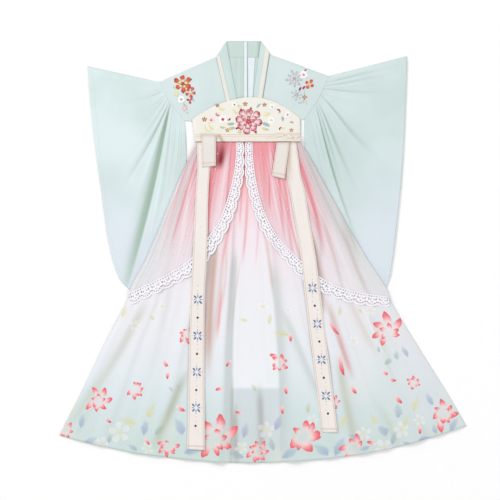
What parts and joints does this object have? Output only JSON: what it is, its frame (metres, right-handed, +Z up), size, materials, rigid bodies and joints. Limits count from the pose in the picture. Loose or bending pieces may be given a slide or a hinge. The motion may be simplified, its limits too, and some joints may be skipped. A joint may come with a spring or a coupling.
{
  "type": "hanfu dress laid flat",
  "caption": "Child's hanfu dress laid flat: wide mint sleeves, cream chest band, long printed skirt, short tulle overskirt edged in lace, belt with long ribbons.",
  "frame": {"origin": "middle of the flat underside, which lies on the surface", "axes": "+X to the right as seen from above, +Y from hem to collar, +Z up from the surface, out of the front of the dress"},
  "size_m": [1.0576, 1.0966, 0.0146],
  "materials": {
    "mint_chiffon": "sheer mint chiffon, matt",
    "printed_chiffon": "thin chiffon printed with flowers and leaves, matt",
    "white_lining": "opaque white lining, matt",
    "pink_tulle": "sheer pink tulle fading to white, matt",
    "white_lace": "white cotton lace, matt",
    "chest_satin": "cream woven band with embroidery, soft sheen",
    "cream_band": "cream woven band, soft sheen",
    "cream_ribbon": "cream woven ribbon with small embroidered flowers, soft sheen",
    "zip_tape": "white woven tape, matt"
  },
  "bodies": {
    "root": {"bodice_back": "mint_chiffon", "back_neck_band": "mint_chiffon", "back_zip_tape": "zip_tape", "back_placket": "zip_tape", "front_left": "mint_chiffon", "front_right": "mint_chiffon", "neck_band_left": "mint_chiffon", "neck_band_right": "mint_chiffon", "neck_strip_left": "cream_band", "neck_strip_right": "cream_band", "chest_panel": "chest_satin", "back_band": "cream_band", "belt": "cream_band", "belt_knot": "cream_band", "tie_short_left": "cream_band", "tie_short_right": "cream_band", "ribbon_left": "cream_ribbon", "ribbon_right": "cream_ribbon", "sleeve_front_left": "mint_chiffon", "sleeve_back_left": "mint_chiffon", "sleeve_front_right": "mint_chiffon", "sleeve_back_right": "mint_chiffon", "skirt_back": "printed_chiffon", "skirt_lining": "white_lining", "skirt_front": "printed_chiffon", "overskirt_left": "pink_tulle", "overskirt_right": "pink_tulle", "lace_left": "white_lace", "lace_right": "white_lace"}
  },
  "joints": []
}
